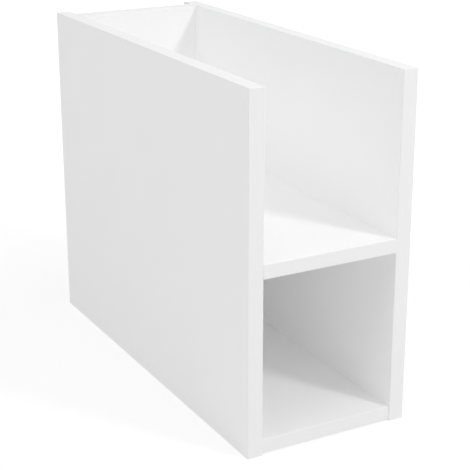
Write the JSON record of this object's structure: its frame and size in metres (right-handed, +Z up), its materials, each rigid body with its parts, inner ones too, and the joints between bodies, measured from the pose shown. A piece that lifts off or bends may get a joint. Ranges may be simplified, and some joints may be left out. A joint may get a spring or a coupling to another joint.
{
  "type": "open low cabinet",
  "caption": "Narrow open cabinet in white board with one fixed shelf, an inset back and height-adjustable wall hangers.",
  "frame": {"origin": "on the floor, under the middle of the cabinet", "axes": "+Z up, the open front faces -Y, +X to the right seen from the front"},
  "size_m": [0.2, 0.5, 0.4],
  "materials": {
    "melamine_board": "satin",
    "edging": "satin",
    "dowel": "matte",
    "bracket_sheet": "zinc-plated",
    "hook_casting": "cast",
    "screw": "zinc-plated"
  },
  "bodies": {
    "carcass": {"left_side_panel": "melamine_board", "right_side_panel": "melamine_board", "bottom_panel": "melamine_board", "middle_shelf": "melamine_board", "back_panel": "melamine_board", "left_side_front_edging": "edging", "left_side_rear_edging": "edging", "left_side_top_edging": "edging", "left_side_bottom_edging": "edging", "right_side_front_edging": "edging", "right_side_rear_edging": "edging", "right_side_top_edging": "edging", "right_side_bottom_edging": "edging", "bottom_front_edging": "edging", "shelf_front_edging": "edging", "back_top_edging": "edging", "back_bottom_edging": "edging", "bottom_dowels": "dowel", "shelf_dowels": "dowel", "back_dowels": "dowel", "left_hanger_bracket": "bracket_sheet", "left_bracket_screws": "screw", "right_hanger_bracket": "bracket_sheet", "right_bracket_screws": "screw"},
    "left_height_screw": {"left_height_screw": "screw"},
    "left_hook": {"left_hook": "hook_casting"},
    "right_height_screw": {"right_height_screw": "screw"},
    "right_hook": {"right_hook": "hook_casting"}
  },
  "joints": [
    {"name": "left_hook_lift", "type": "slide", "parent": "carcass", "child": "left_hook", "axis": [0, 0, 1], "range_m": [-0.007, 0.007]},
    {"name": "right_hook_lift", "type": "slide", "parent": "carcass", "child": "right_hook", "axis": [0, 0, 1], "range_m": [-0.007, 0.007]},
    {"name": "left_screw_turn", "type": "hinge", "parent": "carcass", "child": "left_height_screw", "pos_m": [-0.0507, 0.2378, 0.37], "axis": [0, 0, 1], "range_deg": [-2520.1, 2520.1]},
    {"name": "right_screw_turn", "type": "hinge", "parent": "carcass", "child": "right_height_screw", "pos_m": [0.0507, 0.2378, 0.37], "axis": [0, 0, 1], "range_deg": [-2520.1, 2520.1]}
  ],
  "couplings": [
    {"joint": "left_screw_turn", "follows": "left_hook_lift", "rad_per_m": -6283.2},
    {"joint": "right_screw_turn", "follows": "right_hook_lift", "rad_per_m": -6283.2}
  ]
}
